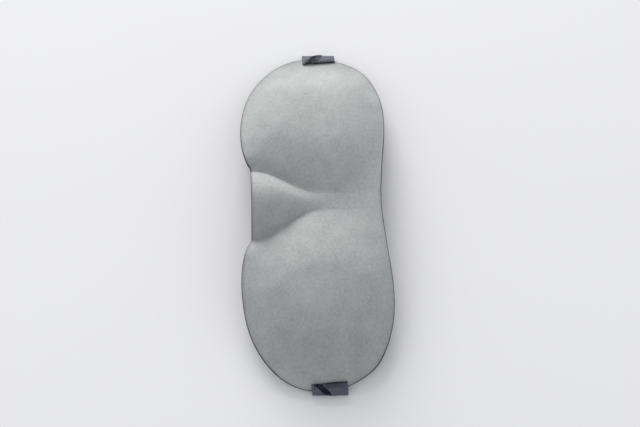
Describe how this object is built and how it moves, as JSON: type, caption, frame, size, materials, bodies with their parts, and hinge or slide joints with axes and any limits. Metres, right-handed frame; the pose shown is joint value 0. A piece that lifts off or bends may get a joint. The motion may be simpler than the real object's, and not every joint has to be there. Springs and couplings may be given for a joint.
{
  "type": "sleep eye mask",
  "caption": "Contoured moulded sleep eye mask with domed eye cups, a nose arch and two elastic strap halves that fasten with hook and loop.",
  "frame": {"origin": "middle of the bounding box on the surface the mask lies on", "axes": "+X to the wearer's left along the mask, +Y towards the forehead, +Z away from the face"},
  "size_m": [0.2298, 0.0933, 0.041],
  "materials": {
    "cover_knit": "matte",
    "foam": "matte",
    "lining_knit": "matte",
    "strap_elastic": "matte",
    "loop_pile": "matte",
    "hook_nylon": "matte",
    "thread": "satin"
  },
  "bodies": {
    "mask": {"outer_cover": "cover_knit", "foam_core": "foam", "inner_lining": "lining_knit", "left_strap_end": "strap_elastic", "left_strap_fold": "strap_elastic", "left_end_stitches": "thread", "right_strap_end": "strap_elastic", "right_strap_fold": "strap_elastic", "right_end_stitches": "thread"},
    "left_strap": {"left_strap": "strap_elastic"},
    "left_tail": {"left_strap_tail": "strap_elastic", "loop_tape": "loop_pile", "loop_tape_stitches": "thread"},
    "right_strap": {"right_strap": "strap_elastic"},
    "right_tail": {"right_strap_tail": "strap_elastic", "hook_patch": "hook_nylon", "hook_patch_stitches": "thread"}
  },
  "joints": [
    {"name": "left_strap_swing", "type": "hinge", "parent": "mask", "child": "left_strap", "pos_m": [0.112, 0.0053, 0.00265], "axis": [-0.0262, -0.9997, 0], "range_deg": [0, 178], "deforming": ["left_strap_fold"]},
    {"name": "left_strap_bend", "type": "hinge", "parent": "left_strap", "child": "left_tail", "pos_m": [0.01763, 0.01622, 0.001], "axis": [-0.115, -0.9934, 0], "range_deg": [-5, 150]},
    {"name": "right_strap_swing", "type": "hinge", "parent": "mask", "child": "right_strap", "pos_m": [-0.112, 0.0053, 0.00265], "axis": [0.0262, 0.9997, 0], "range_deg": [0, 178], "deforming": ["right_strap_fold"]},
    {"name": "right_strap_bend", "type": "hinge", "parent": "right_strap", "child": "right_tail", "pos_m": [-0.01763, -0.00562, -0.0003], "axis": [0.115, 0.9934, 0], "range_deg": [-5, 150]}
  ]
}
